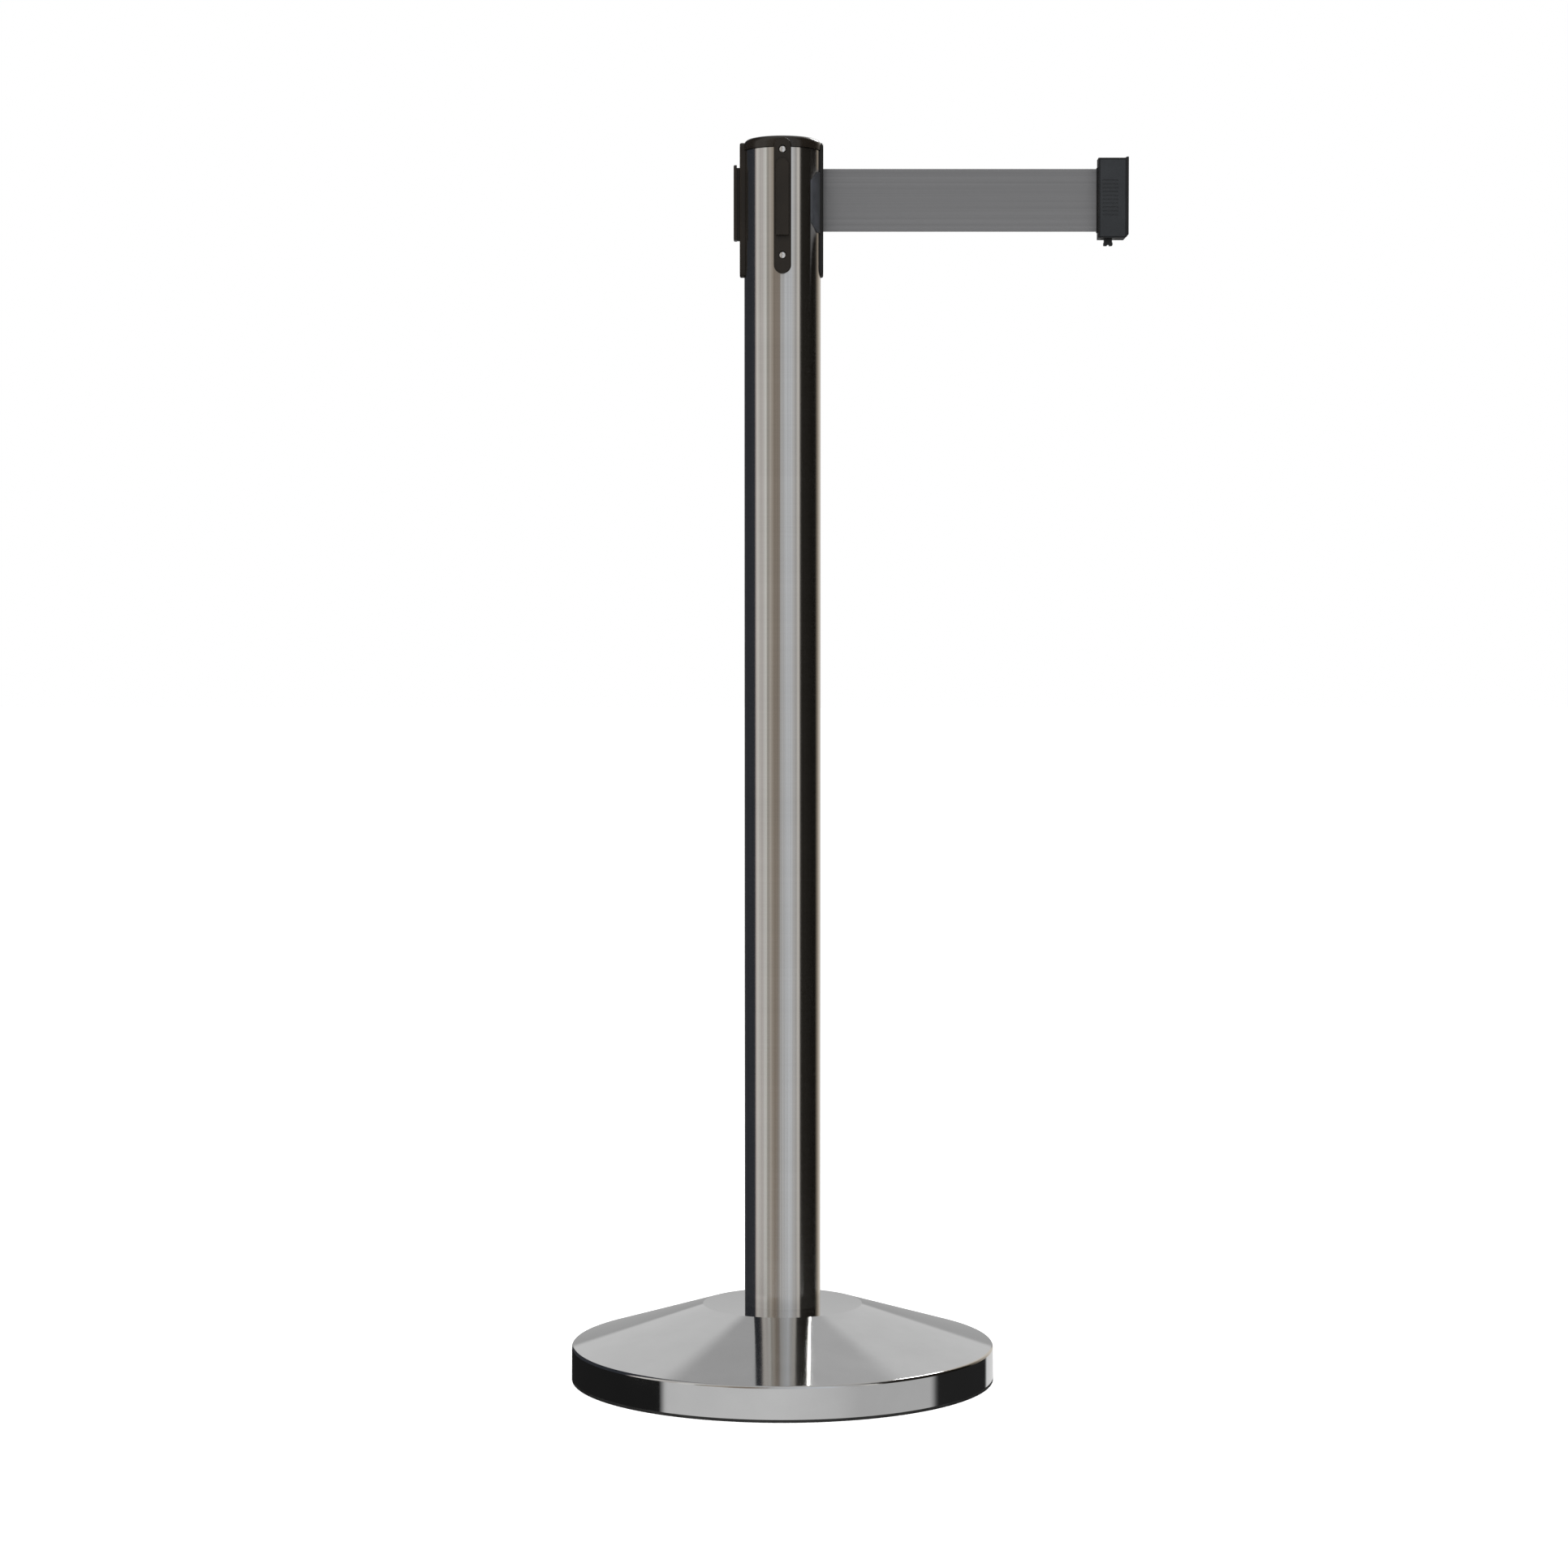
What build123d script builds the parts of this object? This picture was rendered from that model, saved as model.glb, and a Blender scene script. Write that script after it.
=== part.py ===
from build123d import *
import math
import os

# Retractable belt stanchion, in millimetres. +Z is up, the origin is the centre of the base on the
# floor, the belt leaves the head along +X, and the front receiver faces -Y.

# ---------------------------------------------------------------- driving dimensions

# how far a cut runs past the face that it opens, and how closely an edge's place is matched
OVERRUN = 1.0
MATCH = 0.01

# base
BASE_RADIUS = 167.0
RIM_TOP = 27.0
RIM_FILLET = 2.0
PLATEAU_RADIUS = 63.0
PLATEAU_TOP = 59.0
SHEET = 0.8
RING_HEIGHT = 2.3
RING_INNER_RADIUS = 140.0
WEIGHT_RADIUS = 164.0
WEIGHT_TOP = 15.0
HUB_FOOT_RADIUS = 62.0
HUB_TOP_RADIUS = 42.0

# M12 bolt that ties the post to the base
BOLT_RADIUS = 6.0
BOLT_TOP = 80.0
BOLT_POCKET_RADIUS = 21.0
BOLT_POCKET_TOP = 20.0
WASHER_RADIUS = 17.0
WASHER_THICK = 2.5
SPRING_WASHER_RADIUS = 10.4
SPRING_WASHER_THICK = 3.0
SPRING_WASHER_HALF_GAP = 0.5
BOLT_HEAD_ACROSS = 18.0
BOLT_HEAD_HEIGHT = 7.5
BOLT_PLAY = 0.5
BOLT_TIP_CHAMFER = 0.5

# post
TUBE_RADIUS = 30.0
TUBE_WALL = 0.8
TUBE_TOP = 967.0
TUBE_EDGE_CHAMFER = 0.3
TUBE_BORE = TUBE_RADIUS - TUBE_WALL
PLUG_HEIGHT = 25.0
PLUG_RADIUS = TUBE_BORE - 0.05

# belt
BELT_WIDTH = 49.0
BELT_THICK = 0.5
BELT_MIDDLE = 929.4
BELT_BOTTOM = BELT_MIDDLE - BELT_WIDTH / 2
BELT_TOP = BELT_MIDDLE + BELT_WIDTH / 2

# strips on the head, three with a receiver rail and one with the belt's mouth
STRIP_WIDTH = 13.5
STRIP_BOTTOM = 868.8
STRIP_TOP = 974.1
STRIP_FACE = 33.5
BEZEL_FACE = 32.0
STRIP_FILLET = 1.4
RAIL_BOTTOM = 897.7
RAIL_TOP = 956.9
RAIL_NECK_WIDTH = 6.0
RAIL_NECK_LENGTH = 2.3
RAIL_HEAD_WIDTH = 10.3
RAIL_HEAD_THICK = 2.5
RAIL_FILLET = 0.9
FRONT, LEFT, BACK, RIGHT = -90, 180, 90, 0

# blind rivets
RIVET_HEIGHTS = (882.9, 964.7)
RIVET_SHANK = 1.6
RIVET_HOLE = 1.65
RIVET_HEAD = 3.0
RIVET_DOME = 1.1
RIVET_RECESS = 1.1
RIVET_RECESS_RADIUS = 3.2
RIVET_MANDREL_HOLE = 0.8
RIVET_MANDREL_DEPTH = 1.0
RIVET_BULB = 2.4
RIVET_BULB_LENGTH = 2.0
RIVET_BULB_FACE = 26.9

# top cap
CAP_RADIUS = 30.5
CAP_UNDERSIDE = 967.4
CAP_EDGE = 975.6
CAP_CROWN = 977.4
CAP_SHOULDER = 4.6
CAP_WALL = 2.0
CAP_SKIRT_BOTTOM = 962.5
CAP_SKIRT_RADIUS = 29.1
STRIP_NOTCH_PLAY = 0.15

# belt mouth
MOUTH_HALF_GAP = 1.2
MOUTH_LIP = 1.0
WINDOW_HALF_WIDTH = 6.3
WINDOW_BOTTOM = 902.0
WINDOW_TOP = 957.0
WINDOW_PLAY = 1.0
THROAT_HALF_WIDTH = 6.0
THROAT_INNER = 26.4
THROAT_FLARE = 5.0
WING_THICK = 1.1
WING_HALF_WIDTH = 20.5
WING_BOTTOM = 902.7
WING_TOP = 949.7
WING_CORNER = 10.0

# belt cassette inside the head of the tube
HOUSING_RADIUS = 28.8
HOUSING_WALL = 1.6
HOUSING_BOTTOM = 878.0
HOUSING_FLOOR = 886.5
HOUSING_FLOOR_THICK = 2.0
HOUSING_TOP = 959.0
LID_THICK = 2.0
BOSS_RADIUS = 2.0
BOSS_CIRCLE = 26.5
BOSS_BOTTOM = 944.0
BOSS_ANGLES = (45, 165, 285)
CASSETTE_SCREW_RADIUS = 1.0
CASSETTE_SCREW_LENGTH = 9.0
CASSETTE_SCREW_HEAD = 1.8
CASSETTE_SCREW_HEAD_HEIGHT = 1.2

# reel
SHAFT_RADIUS = 3.0
SHAFT_TOP = 960.5
ARBOR_RADIUS = 5.0
ARBOR_BOTTOM = 888.6
ARBOR_TOP = 900.6
RUNNING_PLAY = 0.05
BUSH_RADIUS = 4.6
BUSH_LENGTH = 7.0
BUSH_FLANGE_RADIUS = 6.4
BUSH_FLANGE = 0.8
DRUM_RADIUS = 12.0
DRUM_WALL = 2.0
DRUM_BOTTOM = 901.5
DRUM_TOP = 956.0
FLANGE_RADIUS = 24.0
FLANGE_THICK = 1.6
THRUST_WASHER_BOTTOM = DRUM_TOP + BUSH_FLANGE + RUNNING_PLAY
THRUST_WASHER_THICK = 0.5
THRUST_WASHER_RADIUS = 6.0
RETAINING_RING_THICK = 0.6
RETAINING_RING_RADIUS = 5.0
RETAINING_GROOVE_RADIUS = 2.4
CASE_RADIUS = 25.0
CASE_WALL = 1.0
CASE_BOTTOM = 889.2
MAINSPRING_BOTTOM = 891.0
MAINSPRING_TOP = 900.4
MAINSPRING_THICK = 0.3
MAINSPRING_PITCH = 1.2
MAINSPRING_FIRST_RADIUS = 5.4
MAINSPRING_TURNS = 15
ROLL_RADIUS = 20.7
ROLL_PLAY = 0.3
LEAD_IN_BEND = 1.0

# belt clip
CLIP_INNER = 247.4
CLIP_OUTER = 271.2
CLIP_BOTTOM = 899.2
CLIP_TOP = 961.7
CLIP_HALF_THICK = 7.5
CLIP_WALL = 1.6
CLIP_SIDE_WALL = 1.5
CLIP_FILLET = 0.8
CLIP_CORNER_CHAMFER = 3.0
EAR_HEIGHT = 0.9
EAR_LENGTH = 3.0
LIP_LENGTH = 1.1
LIP_HALF_WIDTH = 2.6
LIP_MARGIN = 0.8
LIP_FILLET = 0.6
ENTRY_HALF_GAP = 0.5
COVER_THICK = 1.2
COVER_INSET = 1.0
COVER_FREE_INSET = 2.3
COVER_CHAMFER = 0.35
COVER_PLAY = 0.05
GRIP_GROOVES = 10
GRIP_PITCH = 3.0
GRIP_WIDTH = 12.0
GRIP_HEIGHT = 1.1
GRIP_DEPTH = 0.35
GRIP_CENTRE_X = 256.7
GRIP_CENTRE_Z = 930.7

# T-slot in the clip, for the rail of another post
SLOT_PLAY = 0.35
SLOT_TOP = 960.5
SLOT_MOUTH_WALL = 2.2
SLOT_DEPTH = 3.0
SLOT_BACK_WALL = 1.6

# anchor pin of the belt in the clip
PIN_X = 251.6
PIN_RADIUS = 1.5
PIN_BOTTOM = 902.6
PIN_TOP = 958.6
PIN_SHELF = 1.2
PIN_SHELF_HALF_WIDTH = 3.2

# lock slider in the clip; it slides up and inwards at 45 degrees
LOCK_TRAVEL = 3.0
LOCK_BLOCK = (260.6, 904.2)
LOCK_BLOCK_LENGTH = 5.0
LOCK_BLOCK_WIDTH = 4.4
LOCK_HALF_DEPTH = 5.4
LOCK_PLAY = 0.2
STUB_INNER = 252.0
STUB_OUTER = 259.0
STUB_BOTTOM = 893.8
STUB_SHOULDER = 899.8
STUB_HALF_DEPTH = 2.4
STUB_GROOVE = 0.9
STUB_FOOT = 0.4
NECK_INNER = 256.8
NECK_TOP = 902.6
TOOTH_ROOT = 259.6
TOOTH_TIP = 268.2
TOOTH_BOTTOM = 899.6
TOOTH_TOP = 901.2
TOOTH_HALF_DEPTH = 2.4
KEYWAY_HALF_WIDTH = 2.7
GUIDE_INNER = 3.0
GUIDE_LENGTH = 7.0
GUIDE_THICK = 1.0
SPRING_X = 260.4
SPRING_SEAT = 906.6
SPRING_SEAT_HALF = 1.9
SPRING_PILOT_RADIUS = 0.9
SPRING_PILOT_HEIGHT = 1.6
SPRING_SHELF = 916.6
SPRING_SHELF_THICK = 1.2
SPRING_COIL_RADIUS = 1.45
SPRING_WIRE_RADIUS = 0.2
SPRING_PITCH = 1.2
SPRING_END_GAP = 0.3

# screws that close the clip
CLIP_SCREW_PLACES = ((255.9, 912.3), (259.5, 951.5))
CLIP_SCREW_RADIUS = 0.9
CLIP_SCREW_HEAD = 1.8
CLIP_SCREW_HEAD_HEIGHT = 1.0
CLIP_SCREW_LENGTH = 11.0
CLIP_SCREW_CROSS_HALF_WIDTH = 0.2
CLIP_SCREW_CROSS_DEPTH = 0.4
CLIP_BOSS_RADIUS = 1.9
CLIP_BOSS_SPLIT = 1.0


# ---------------------------------------------------------------- helpers

def save(node, shape):
    """Writes one sub-part to its own STEP file."""
    export_step(shape, f"parts/{node}.step")


def turned(*corners):
    """Solid of revolution about Z, from the (radius, height) corners of its outline."""
    outline = Polyline(*[(radius, 0, height) for radius, height in corners], close=True)
    return revolve(make_face(outline), Axis.Z)


def ring(inner, outer, bottom, top):
    """Flat ring, tube or, with an inner radius of 0, disc about Z."""
    return turned((inner, bottom), (outer, bottom), (outer, top), (inner, top))


def block(x_range, y_range, z_range):
    """Box from its ranges along X, Y and Z."""
    size = [high - low for low, high in (x_range, y_range, z_range)]
    middle = [(high + low) / 2 for low, high in (x_range, y_range, z_range)]
    return Pos(*middle) * Box(*size)


def slanted(centre, along, across, y_range):
    """Box that lies along the lock's slide direction, from its centre in X and Z."""
    y_low, y_high = y_range
    box = Box(along, y_high - y_low, across)
    return Pos(centre[0], (y_low + y_high) / 2, centre[1]) * Rot(0, 45, 0) * box


def lock_point(along, across):
    """Point in X and Z, measured from the lock block's centre along and across its slide."""
    step = math.sqrt(0.5)
    return (LOCK_BLOCK[0] + step * (across - along), LOCK_BLOCK[1] + step * (along + across))


def radial_pin(radius, inner, outer, height):
    """Cylinder that points along +X at a height, between two distances from the axis."""
    place = Plane(origin=(inner, 0, height), x_dir=(0, 1, 0), z_dir=(1, 0, 0))
    return extrude(place * Circle(radius), outer - inner)


def cross_pin(radius, x, z, y_range):
    """Cylinder along Y at a point in X and Z."""
    place = Plane(origin=(x, y_range[0], z), x_dir=(1, 0, 0), z_dir=(0, 1, 0))
    return extrude(place * Circle(radius), y_range[1] - y_range[0])


def facing(angle, shape):
    """Turns a shape that faces +X to face another way round the post."""
    return Rot(0, 0, angle) * shape


def circular_edges(shape, radius, height):
    """Circular edges about Z with this radius, at this height."""
    found = shape.edges().filter_by(GeomType.CIRCLE)
    return [
        edge for edge in found
        if abs(edge.radius - radius) < MATCH and abs(edge.center().Z - height) < MATCH
    ]


def arched(x_range, width, bottom, arch_top, arch_radius):
    """Bar along Z with a round top, centred on Y, between two distances from the axis."""
    arch_centre = arch_top - arch_radius
    bar = block(x_range, (-width / 2, width / 2), (bottom, arch_centre))
    return bar + radial_pin(width / 2, x_range[0], x_range[1], arch_centre)


# ---------------------------------------------------------------- base

def make_floor_ring():
    """Rubber ring that the base stands on."""
    return ring(RING_INNER_RADIUS, BASE_RADIUS, 0, RING_HEIGHT)


def make_base_cover():
    """Pressed stainless shell: upright rim, straight cone and a flat top round the post."""
    slope = math.atan2(PLATEAU_TOP - RIM_TOP, BASE_RADIUS - PLATEAU_RADIUS)
    drop = SHEET / math.cos(slope)
    inner_radius = BASE_RADIUS - SHEET
    inner_rim_top = RIM_TOP - drop + SHEET * math.tan(slope)
    inner_plateau = PLATEAU_RADIUS - (drop - SHEET) / math.tan(slope)
    hole = BOLT_RADIUS + BOLT_PLAY
    shell = turned(
        (inner_radius, RING_HEIGHT),
        (BASE_RADIUS, RING_HEIGHT),
        (BASE_RADIUS, RIM_TOP),
        (PLATEAU_RADIUS, PLATEAU_TOP),
        (hole, PLATEAU_TOP),
        (hole, PLATEAU_TOP - SHEET),
        (inner_plateau, PLATEAU_TOP - SHEET),
        (inner_radius, inner_rim_top),
    )
    shell = fillet(circular_edges(shell, BASE_RADIUS, RIM_TOP), RIM_FILLET)
    return fillet(circular_edges(shell, inner_radius, inner_rim_top), RIM_FILLET - SHEET)


def make_base_weight():
    """Cast iron disc with a hub that carries the cover, and a pocket for the bolt's head."""
    hub_top = PLATEAU_TOP - SHEET
    bore = BOLT_RADIUS + BOLT_PLAY
    return turned(
        (BOLT_POCKET_RADIUS, RING_HEIGHT),
        (WEIGHT_RADIUS, RING_HEIGHT),
        (WEIGHT_RADIUS, WEIGHT_TOP),
        (HUB_FOOT_RADIUS, WEIGHT_TOP),
        (HUB_TOP_RADIUS, hub_top),
        (bore, hub_top),
        (bore, BOLT_POCKET_TOP),
        (BOLT_POCKET_RADIUS, BOLT_POCKET_TOP),
    )


def make_bolt_washer():
    """Wide plate washer against the pocket's ceiling."""
    inner = BOLT_RADIUS + BOLT_PLAY
    return ring(inner, WASHER_RADIUS, BOLT_POCKET_TOP - WASHER_THICK, BOLT_POCKET_TOP)


def make_spring_washer():
    """Split spring washer under the plate washer."""
    top = BOLT_POCKET_TOP - WASHER_THICK
    inner = BOLT_RADIUS + BOLT_PLAY / 2
    washer = ring(inner, SPRING_WASHER_RADIUS, top - SPRING_WASHER_THICK, top)
    half_gap = (-SPRING_WASHER_HALF_GAP, SPRING_WASHER_HALF_GAP)
    split = block((0, WASHER_RADIUS), half_gap, (0, BOLT_POCKET_TOP))
    return washer - split


def make_tie_bolt():
    """M12 hexagon bolt, from the pocket up into the tube's foot plug."""
    seat = BOLT_POCKET_TOP - WASHER_THICK - SPRING_WASHER_THICK
    hexagon = RegularPolygon(BOLT_HEAD_ACROSS / 2, 6, major_radius=False)
    head = Pos(0, 0, seat - BOLT_HEAD_HEIGHT) * extrude(hexagon, BOLT_HEAD_HEIGHT)
    bolt = head + ring(0, BOLT_RADIUS, seat, BOLT_TOP)
    return chamfer(circular_edges(bolt, BOLT_RADIUS, BOLT_TOP), BOLT_TIP_CHAMFER)


def make_tube_foot_plug():
    """Steel plug pressed into the foot of the tube, threaded for the bolt."""
    top = PLATEAU_TOP + PLUG_HEIGHT
    return ring(BOLT_RADIUS, PLUG_RADIUS, PLATEAU_TOP, top)


# ---------------------------------------------------------------- post and head

def make_post_tube():
    """Stainless tube, with rivet holes and the window that the belt leaves through."""
    tube = ring(TUBE_BORE, TUBE_RADIUS, PLATEAU_TOP, TUBE_TOP)
    tube = chamfer(circular_edges(tube, TUBE_RADIUS, TUBE_TOP), TUBE_EDGE_CHAMFER)
    window = (-WINDOW_HALF_WIDTH, WINDOW_HALF_WIDTH)
    tube -= block((0, STRIP_FACE), window, (WINDOW_BOTTOM - WINDOW_PLAY, WINDOW_TOP + WINDOW_PLAY))
    for angle in (FRONT, LEFT, BACK, RIGHT):
        for height in RIVET_HEIGHTS:
            tube -= facing(angle, radial_pin(RIVET_HOLE, DRUM_RADIUS, STRIP_FACE, height))
    return tube


def strip_blank(face):
    """Strip with round ends that faces +X, hollowed to sit on the tube, its rivets' heads recessed."""
    middle = (STRIP_TOP + STRIP_BOTTOM) / 2
    outline = Plane.YZ * Pos(0, middle) * SlotOverall(STRIP_TOP - STRIP_BOTTOM, STRIP_WIDTH, 90)
    strip = extrude(outline, face)
    strip = fillet(strip.faces().sort_by(Axis.X)[-1].edges(), STRIP_FILLET)
    strip -= ring(0, TUBE_RADIUS, 0, STRIP_TOP + STRIP_WIDTH)
    for height in RIVET_HEIGHTS:
        strip -= radial_pin(RIVET_HOLE, DRUM_RADIUS, face, height)
        strip -= radial_pin(RIVET_RECESS_RADIUS, face - RIVET_RECESS, face + OVERRUN, height)
    return strip


def make_receiver():
    """Strip with a T-shaped rail on its face, for the clip of another post's belt."""
    neck_end = STRIP_FACE + RAIL_NECK_LENGTH
    head_end = neck_end + RAIL_HEAD_THICK
    arch = RAIL_HEAD_WIDTH / 2
    arch_centre = RAIL_TOP - arch
    neck_top = arch_centre + RAIL_NECK_WIDTH / 2
    head = arched((neck_end, head_end), RAIL_HEAD_WIDTH, RAIL_BOTTOM, RAIL_TOP, arch)
    head = fillet(head.faces().sort_by(Axis.X)[-1].edges(), RAIL_FILLET)
    neck = arched(
        (STRIP_FACE - RAIL_NECK_LENGTH, neck_end),
        RAIL_NECK_WIDTH, RAIL_BOTTOM, neck_top, RAIL_NECK_WIDTH / 2,
    )
    return strip_blank(STRIP_FACE) + neck + head


def make_belt_exit_bezel():
    """Strip with the belt's mouth, wings that wrap the tube, and a throat into the cassette."""
    wing_ring = ring(TUBE_RADIUS, TUBE_RADIUS + WING_THICK, WING_BOTTOM, WING_TOP)
    wing_half = (-WING_HALF_WIDTH, WING_HALF_WIDTH)
    wings = wing_ring & block((0, STRIP_FACE), wing_half, (WING_BOTTOM, WING_TOP))
    for side in (-1, 1):
        for level in (WING_BOTTOM, WING_TOP):
            corner = Pos(TUBE_RADIUS / 2, side * WING_HALF_WIDTH, level) * Rot(45, 0, 0)
            wings -= corner * Box(TUBE_RADIUS * 2, WING_CORNER, WING_CORNER)
    throat_half = (-THROAT_HALF_WIDTH, THROAT_HALF_WIDTH)
    throat = block((THROAT_INNER, TUBE_RADIUS), throat_half, (WINDOW_BOTTOM, WINDOW_TOP))
    throat = throat & ring(0, TUBE_RADIUS, WINDOW_BOTTOM, WINDOW_TOP)
    bezel = strip_blank(BEZEL_FACE) + wings + throat
    gap_bottom = BELT_BOTTOM - MOUTH_HALF_GAP
    gap = BELT_WIDTH + 2 * MOUTH_HALF_GAP
    throat_bend = TUBE_RADIUS - MOUTH_HALF_GAP
    lip_start = BEZEL_FACE - MOUTH_LIP
    lip_half = MOUTH_HALF_GAP + MOUTH_LIP
    channel = Polyline(
        (BEZEL_FACE, lip_half),
        (lip_start, MOUTH_HALF_GAP),
        (throat_bend, MOUTH_HALF_GAP),
        (THROAT_INNER - OVERRUN, THROAT_FLARE),
        (THROAT_INNER - OVERRUN, -THROAT_FLARE),
        (throat_bend, -MOUTH_HALF_GAP),
        (lip_start, -MOUTH_HALF_GAP),
        (BEZEL_FACE, -lip_half),
        close=True,
    )
    return bezel - Pos(0, 0, gap_bottom) * extrude(make_face(channel), gap)


def make_top_cap():
    """Moulded cap: shallow dome, flange on the tube and a skirt inside it."""
    crown = ThreePointArc(
        (0, 0, CAP_CROWN),
        (CAP_RADIUS / 2, 0, CAP_CROWN - (CAP_CROWN - CAP_EDGE) / 4),
        (CAP_RADIUS, 0, CAP_EDGE),
    )
    inner = CAP_SKIRT_RADIUS - CAP_WALL
    ceiling = CAP_EDGE - CAP_WALL
    sides = Polyline(
        (CAP_RADIUS, 0, CAP_EDGE),
        (CAP_RADIUS, 0, CAP_UNDERSIDE),
        (CAP_SKIRT_RADIUS, 0, CAP_UNDERSIDE),
        (CAP_SKIRT_RADIUS, 0, CAP_SKIRT_BOTTOM),
        (inner, 0, CAP_SKIRT_BOTTOM),
        (inner, 0, CAP_UNDERSIDE + CAP_WALL),
        (inner - CAP_WALL, 0, ceiling),
        (0, 0, ceiling),
        (0, 0, CAP_CROWN),
    )
    cap = revolve(make_face(crown + sides), Axis.Z)
    cap = fillet(circular_edges(cap, CAP_RADIUS, CAP_EDGE), CAP_SHOULDER)
    notch_half = STRIP_WIDTH / 2 + STRIP_NOTCH_PLAY
    notch_x = (TUBE_BORE - CAP_WALL, STRIP_FACE)
    notch_top = STRIP_TOP + STRIP_NOTCH_PLAY
    notch = arched(notch_x, 2 * notch_half, CAP_SKIRT_BOTTOM, notch_top, notch_half)
    notch -= ring(0, TUBE_RADIUS - STRIP_NOTCH_PLAY, CAP_SKIRT_BOTTOM, CAP_CROWN)
    for angle in (FRONT, LEFT, BACK, RIGHT):
        cap -= facing(angle, notch)
        cap -= facing(angle, radial_pin(RIVET_HOLE, DRUM_RADIUS, STRIP_FACE, RIVET_HEIGHTS[1]))
    return cap


def make_blind_rivet(face, height):
    """Set blind rivet that faces +X in a strip's recess: domed head, shank and bulb behind the wall."""
    sphere_radius = (RIVET_HEAD**2 + RIVET_DOME**2) / (2 * RIVET_DOME)
    seat = face - RIVET_RECESS
    crown = seat + RIVET_DOME
    half_way = RIVET_HEAD / 2
    half_way_height = crown - sphere_radius + math.sqrt(sphere_radius**2 - half_way**2)
    dome = ThreePointArc((RIVET_HEAD, 0, seat), (half_way, 0, half_way_height), (0, 0, crown))
    bulb_end = RIVET_BULB_FACE - RIVET_BULB_LENGTH
    sides = Polyline(
        (0, 0, crown),
        (0, 0, bulb_end),
        (RIVET_BULB, 0, bulb_end),
        (RIVET_BULB, 0, RIVET_BULB_FACE),
        (RIVET_SHANK, 0, RIVET_BULB_FACE),
        (RIVET_SHANK, 0, seat),
        (RIVET_HEAD, 0, seat),
    )
    rivet = revolve(make_face(dome + sides), Axis.Z)
    rivet -= ring(0, RIVET_MANDREL_HOLE, seat - RIVET_MANDREL_DEPTH, crown + OVERRUN)
    return Pos(0, 0, height) * Rot(0, 90, 0) * rivet


def make_blind_rivets():
    """All eight rivets, two in each strip."""
    faces = ((FRONT, STRIP_FACE), (LEFT, STRIP_FACE), (BACK, STRIP_FACE), (RIGHT, BEZEL_FACE))
    return Compound([
        facing(angle, make_blind_rivet(face, height)).solid()
        for angle, face in faces
        for height in RIVET_HEIGHTS
    ])


# ---------------------------------------------------------------- cassette

def boss_place(angle):
    """Place of one of the lid's screws."""
    turn = math.radians(angle)
    return Pos(BOSS_CIRCLE * math.cos(turn), BOSS_CIRCLE * math.sin(turn), 0)


def make_cassette_housing():
    """Moulded cup that holds the reel, with a skirt below for the lower rivets."""
    inner = HOUSING_RADIUS - HOUSING_WALL
    floor_top = HOUSING_FLOOR + HOUSING_FLOOR_THICK
    cup = ring(inner, HOUSING_RADIUS, HOUSING_BOTTOM, HOUSING_TOP)
    cup += ring(SHAFT_RADIUS, inner, HOUSING_FLOOR, floor_top)
    for angle in BOSS_ANGLES:
        boss = ring(0, BOSS_RADIUS, BOSS_BOTTOM, HOUSING_TOP)
        cup += boss_place(angle) * boss
    for angle in BOSS_ANGLES:
        hole = ring(0, CASSETTE_SCREW_RADIUS, HOUSING_TOP - CASSETTE_SCREW_LENGTH, HOUSING_TOP)
        cup -= boss_place(angle) * hole
    window = (-WINDOW_HALF_WIDTH, WINDOW_HALF_WIDTH)
    cup -= block((0, STRIP_FACE), window, (WINDOW_BOTTOM - WINDOW_PLAY, HOUSING_TOP))
    for angle in (FRONT, LEFT, BACK, RIGHT):
        cup -= facing(angle, radial_pin(RIVET_HOLE, DRUM_RADIUS, STRIP_FACE, RIVET_HEIGHTS[0]))
    return cup


def make_cassette_lid():
    """Disc that closes the cassette and carries the top of the shaft."""
    lid = ring(SHAFT_RADIUS, HOUSING_RADIUS, HOUSING_TOP, HOUSING_TOP + LID_THICK)
    for angle in BOSS_ANGLES:
        hole = ring(0, CASSETTE_SCREW_RADIUS, HOUSING_TOP, HOUSING_TOP + LID_THICK)
        lid -= boss_place(angle) * hole
    return lid


def make_cassette_screws():
    """Three self-tapping screws through the lid."""
    seat = HOUSING_TOP + LID_THICK
    head = ring(0, CASSETTE_SCREW_HEAD, seat, seat + CASSETTE_SCREW_HEAD_HEIGHT)
    bottom = seat - CASSETTE_SCREW_LENGTH
    screw = head + ring(0, CASSETTE_SCREW_RADIUS, bottom, seat)
    return Compound([(boss_place(angle) * screw).solid() for angle in BOSS_ANGLES])


def make_reel_shaft():
    """Fixed steel shaft, with the arbor that the mainspring's inner end hooks into."""
    groove_bottom = THRUST_WASHER_BOTTOM + THRUST_WASHER_THICK
    groove_top = groove_bottom + RETAINING_RING_THICK
    shaft = turned(
        (0, HOUSING_FLOOR),
        (SHAFT_RADIUS, HOUSING_FLOOR),
        (SHAFT_RADIUS, ARBOR_BOTTOM),
        (ARBOR_RADIUS, ARBOR_BOTTOM),
        (ARBOR_RADIUS, ARBOR_TOP),
        (SHAFT_RADIUS, ARBOR_TOP),
        (SHAFT_RADIUS, groove_bottom),
        (RETAINING_GROOVE_RADIUS, groove_bottom),
        (RETAINING_GROOVE_RADIUS, groove_top),
        (SHAFT_RADIUS, groove_top),
        (SHAFT_RADIUS, SHAFT_TOP),
        (0, SHAFT_TOP),
    )
    hook_slot = block(
        (0, ARBOR_RADIUS), (-MAINSPRING_THICK, MAINSPRING_THICK), (MAINSPRING_BOTTOM, ARBOR_TOP)
    )
    return shaft - hook_slot


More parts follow.
